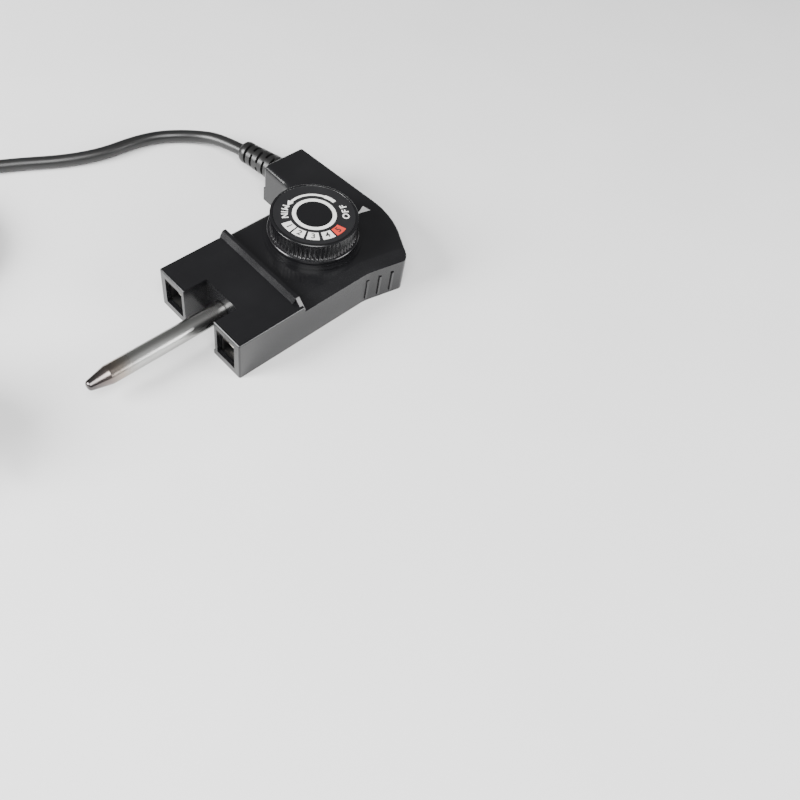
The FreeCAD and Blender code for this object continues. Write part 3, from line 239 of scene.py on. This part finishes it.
bm = bmesh.new()
bmesh.ops.create_grid(bm, x_segments=1, y_segments=1, size=3)
floor_mesh = bpy.data.meshes.new("floor")
bm.to_mesh(floor_mesh)
bm.free()
floor = bpy.data.objects.new("floor", floor_mesh)
floor.location.z = -0.0002
floor_mesh.materials.append(finish("pale_sheet", (0.78, 0.78, 0.78), (0.84, 0.84, 0.84), 0.6, 400, 0.00001))
bpy.context.collection.objects.link(floor)

# ---------------------------------------------------------------- cord
# One round flex leaves the ribbed sleeve, lies along the floor in loose curves and is stored in a
# tied coil of two layers. Its last stretch rises from the coil to the plug.

CORD_RADIUS = 0.00315
COIL_CENTRE = Vector((0.150, -0.118, 0))
TURNS = 4.25
route = [
    (-0.0242, -0.0530, 0.0110), (-0.01926, -0.08955, 0.00823), (-0.009, -0.108, 0.0039),
    (0.010, -0.120, CORD_RADIUS), (0.044, -0.122, CORD_RADIUS), (0.082, -0.143, CORD_RADIUS),
    (0.120, -0.157, CORD_RADIUS),
]
POINTS_A_TURN = 16
DRAW_OUT = 1 / 0.981
WIDEST = 0.0404
PITCH = 0.00645
for i in range(int(TURNS * POINTS_A_TURN) + 1):
    wound = i / POINTS_A_TURN
    angle = math.radians(-90) + wound * math.tau
    inward = min(wound, 2.0)
    outward = max(wound - 2.35, 0)
    radius = (WIDEST - inward * PITCH + outward * PITCH) * DRAW_OUT
    climb = min(max((wound - 1.95) / 0.4, 0), 1)
    route.append((COIL_CENTRE.x + radius * math.cos(angle), COIL_CENTRE.y + radius * math.sin(angle),
                  CORD_RADIUS + climb * 2 * CORD_RADIUS))
route += [(0.1906, -0.098, 0.00945), (0.190, -0.078, 0.01885), (0.190, -0.064, 0.01885)]
curve = bpy.data.curves.new("cord", "CURVE")
curve.dimensions = "3D"
curve.bevel_depth = CORD_RADIUS
curve.bevel_resolution = 5
curve.use_fill_caps = True
curve.resolution_u = 8
spline = curve.splines.new("NURBS")
spline.points.add(len(route) - 1)
for point, place in zip(spline.points, route):
    point.co = (*place, 1)
spline.order_u = 3
spline.use_endpoint_u = True
curve.materials.append(FINISHES["cord_sheath"])
cord = bpy.data.objects.new("cord", curve)
bpy.context.collection.objects.link(cord)
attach(cord, "control")
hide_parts("supply_cord", "cord_coil", "plug_lead")

# ---------------------------------------------------------------- dial
# A hollow knob with fine upright flutes turns over two stepped rings of the housing.
# Its skirt flares a little, and a black plate with the heat scale fills the recess on top.

low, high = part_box("dial_knob")
KNOB_RADIUS = 0.0204
FLUTES = 64
STEPS = FLUTES * 8
RIM = 0.01902
profile = [
    (0.0150, low.z + 0.0075), (0.0190, low.z + 0.0075), (0.0190, 0.02475), (0.0212, 0.02475), (0.0214, 0.0249),
    (0.0214, 0.0259), (0.0212, 0.02615), (KNOB_RADIUS, 0.0263), (KNOB_RADIUS, 0.0267), (KNOB_RADIUS, 0.0300),
    (KNOB_RADIUS, 0.0338), (KNOB_RADIUS, 0.0345), (0.0203, 0.0349), (0.0201, 0.0351), (0.0198, 0.0352),
    (RIM + 0.0001, 0.0352), (RIM, 0.0351), (RIM, 0.0346), (0.0186, 0.03445),
]
bm = bmesh.new()
ring = [bm.verts.new((r, 0, z)) for r, z in profile]
for a, b in zip(ring, ring[1:]):
    bm.edges.new((a, b))
bmesh.ops.spin(bm, geom=bm.verts[:] + bm.edges[:], cent=(0, 0, 0), axis=(0, 0, 1), angle=math.tau, steps=STEPS,
               use_merge=True)
for vert in bm.verts:
    if 0.0265 < vert.co.z < 0.0347:
        around = math.atan2(vert.co.y, vert.co.x)
        dip = 0.5 - 0.5 * math.cos(around * FLUTES)
        pull = 1 - 0.00065 * dip ** 0.7 / KNOB_RADIUS
        vert.co.x *= pull
        vert.co.y *= pull
for edges in ([e for e in bm.edges if e.is_boundary and e.verts[0].co.z < 0.03],
              [e for e in bm.edges if e.is_boundary and e.verts[0].co.z > 0.03]):
    bmesh.ops.holes_fill(bm, edges=edges, sides=0)
knob = add_piece("fluted_knob", bm, FINISHES["dial_plastic"], "dial")
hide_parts("dial_knob")

# ---------------------------------------------------------------- dial print
# Numbers 1 to 5 stand in boxes round the plate, the last one red. An arc that thickens from MIN
# towards OFF and a ring round the centre cap are printed in the same white.

white_print = finish("white_print", (0.62, 0.62, 0.6), (0.74, 0.74, 0.72), 0.55, dust=0.1)
red_print = finish("red_print", (0.5, 0.03, 0.02), (0.6, 0.05, 0.03), 0.5, dust=0.1)
dark_print = finish("dark_print", (0.02, 0.02, 0.02), (0.03, 0.03, 0.03), 0.5)
FACE_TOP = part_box("dial_face")[1].z
INK = 0.00004


def sector(bm, inner, outer, start, end, floor, inner_end=None, outer_end=None):
    """A flat printed band between two angles in degrees; its radii may change towards the end."""
    steps = max(int(abs(end - start) / 2), 2)
    rows = []
    for i in range(steps + 1):
        share = i / steps
        angle = math.radians(start + (end - start) * share)
        near = inner + ((inner_end or inner) - inner) * share
        far = outer + ((outer_end or outer) - outer) * share
        rows.append([bm.verts.new((r * math.cos(angle), r * math.sin(angle), z))
                     for r, z in ((near, floor), (far, floor), (far, floor + INK), (near, floor + INK))])
    for a, b in zip(rows, rows[1:]):
        for k in range(4):
            bm.faces.new((a[k], a[(k + 1) % 4], b[(k + 1) % 4], b[k]))
    if (Vector(rows[0][0].co) - Vector(rows[-1][0].co)).length > 1e-6:
        bm.faces.new(rows[0])
        bm.faces.new(rows[-1][::-1])
    else:
        bmesh.ops.remove_doubles(bm, verts=bm.verts, dist=1e-6)


def lettering(bm, word, size, radius, angle, floor):
    """A word laid flat on the plate; its foot points outwards from the dial's axis."""
    text = bpy.data.curves.new("word", "FONT")
    text.body = word
    text.size = size
    text.align_x = "CENTER"
    text.align_y = "CENTER"
    text.extrude = INK / 2
    text.offset = size * 0.025
    holder = bpy.data.objects.new("word", text)
    mesh = bpy.data.meshes.new_from_object(holder)
    around = math.radians(angle)
    at = Vector((radius * math.cos(around), radius * math.sin(around), floor + INK / 2))
    mesh.transform(Matrix.Translation(at) @ Matrix.Rotation(around + math.pi / 2, 4, "Z"))
    bm.from_mesh(mesh)
    bpy.data.objects.remove(holder)


white = bmesh.new()
sector(white, 0.00835, 0.01015, 0, 360, FACE_TOP)
BOX_HALF = 10.6
boxes = (("1", -3.6), ("2", 21), ("3", 47), ("4", 74))
for digit, angle in boxes:
    sector(white, 0.0119, 0.0165, angle - BOX_HALF, angle + BOX_HALF, FACE_TOP)
sector(white, 0.0128, 0.0130, -61, -75, FACE_TOP, 0.0115, 0.0145)
sector(white, 0.0122, 0.0134, -75, -152, FACE_TOP)
sector(white, 0.0119, 0.0138, -152, -177, FACE_TOP)
for letter, angle in zip("MIN", (-54, -42, -31.5)):
    lettering(white, letter, 0.0042, 0.0137, angle, FACE_TOP)
for letter, angle in zip("OFF", (139, 152, 164)):
    lettering(white, letter, 0.0043, 0.0146, angle, FACE_TOP)
add_piece("white_scale", white, white_print, "dial", smooth=False)
red = bmesh.new()
sector(red, 0.0119, 0.0165, 98.8 - BOX_HALF, 98.8 + BOX_HALF, FACE_TOP)
add_piece("red_box", red, red_print, "dial", smooth=False)
dark = bmesh.new()
for digit, angle in (*boxes, ("5", 98.8)):
    lettering(dark, digit, 0.0042, 0.0142, angle, FACE_TOP + INK)
add_piece("dark_digits", dark, dark_print, "dial", smooth=False)

# ---------------------------------------------------------------- pointer
# A small pale triangle on the housing behind the dial shows where the scale is read.

HOUSING_TOP = 0.022
bm = bmesh.new()
corners = [(-0.0270, 0.0018), (-0.0335, 0.0035), (-0.0326, -0.0006)]
face = bm.faces.new([bm.verts.new((x, y, HOUSING_TOP)) for x, y in corners])
raised = bmesh.ops.extrude_face_region(bm, geom=[face])
bmesh.ops.translate(bm, vec=(0, 0, 3 * INK), verts=[v for v in raised["geom"] if isinstance(v, bmesh.types.BMVert)])
silver = finish("silver_print", (0.34, 0.34, 0.34), (0.5, 0.5, 0.5), 0.4)
add_piece("pointer", bm, silver, "control", smooth=False)

# ---------------------------------------------------------------- ribbed sleeve
# Soft rings joined by alternate bridges make up the sleeve. It leans with the cord's first stretch and ends in a
# rounded collar.

SLEEVE_ROOT = Vector((-0.0242, -0.0518, 0.0110))
SLEEVE_HEADING = Vector((0.1336, -0.9882, -0.0750)).normalized()
RINGS = 5
RING_PITCH = 0.0043
section = [(0.0030, 0.0), (0.0068, 0.0)]
for i in range(RINGS):
    start = i * RING_PITCH
    size = 0.0068 - i * 0.00026
    section += [(size, start + 0.0001), (size, start + 0.0028), (size - 0.0002, start + 0.0030),
                (size - 0.0017, start + 0.0031), (size - 0.0018, start + 0.0042)]
section += [(0.0055, 0.0216), (0.0057, 0.0222), (0.0057, 0.0240), (0.0052, 0.0252), (0.0042, 0.0259), (0.00318, 0.0260),
            (0.00318, 0.0250)]
bm = bmesh.new()
line = [bm.verts.new((r, 0, z)) for r, z in section]
for a, b in zip(line, line[1:]):
    bm.edges.new((a, b))
bmesh.ops.spin(bm, geom=bm.verts[:] + bm.edges[:], cent=(0, 0, 0), axis=(0, 0, 1), angle=math.tau, steps=96,
               use_merge=True)
for vert in bm.verts:
    step, within = divmod(vert.co.z, RING_PITCH)
    radius = math.hypot(vert.co.x, vert.co.y)
    if step < RINGS and within > 0.00305 and radius > 0.0042:
        quarter = (math.degrees(math.atan2(vert.co.y, vert.co.x)) + 45 * (step % 2)) % 90
        if quarter < 24:
            bridge = (0.0066 - step * 0.00026) / radius
            vert.co.x *= bridge
            vert.co.y *= bridge
place = Matrix.Translation(SLEEVE_ROOT) @ SLEEVE_HEADING.to_track_quat("Z", "Y").to_matrix().to_4x4()
bmesh.ops.transform(bm, matrix=place, verts=bm.verts)
sleeve = add_piece("ribbed_sleeve", bm, FINISHES["sleeve_rubber"], "control")
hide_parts("strain_relief")

import json
